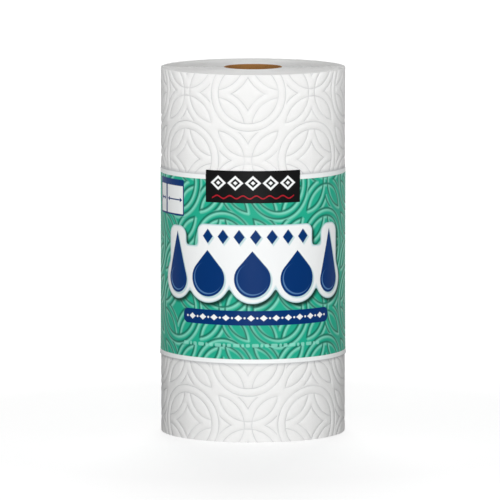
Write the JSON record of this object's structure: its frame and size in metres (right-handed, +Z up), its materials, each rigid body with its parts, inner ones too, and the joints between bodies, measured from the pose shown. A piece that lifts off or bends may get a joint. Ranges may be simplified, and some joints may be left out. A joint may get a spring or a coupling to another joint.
{
  "type": "paper towel roll",
  "caption": "Embossed white paper towels wound on a card core, with a printed sleeve round the middle; stands on its end.",
  "frame": {"origin": "centre of the roll's lower end, on the axis", "axes": "+Z up along the core, -Y out of the front of the sleeve, where the middle of its print is"},
  "size_m": [0.1414, 0.1414, 0.2794],
  "materials": {
    "card": "matte, spiral plies",
    "towel": "soft creped and embossed tissue",
    "film": "printed film, satin"
  },
  "bodies": {
    "root": {"core_tube": "card", "towel_roll": "towel", "sleeve": "film"}
  },
  "joints": []
}
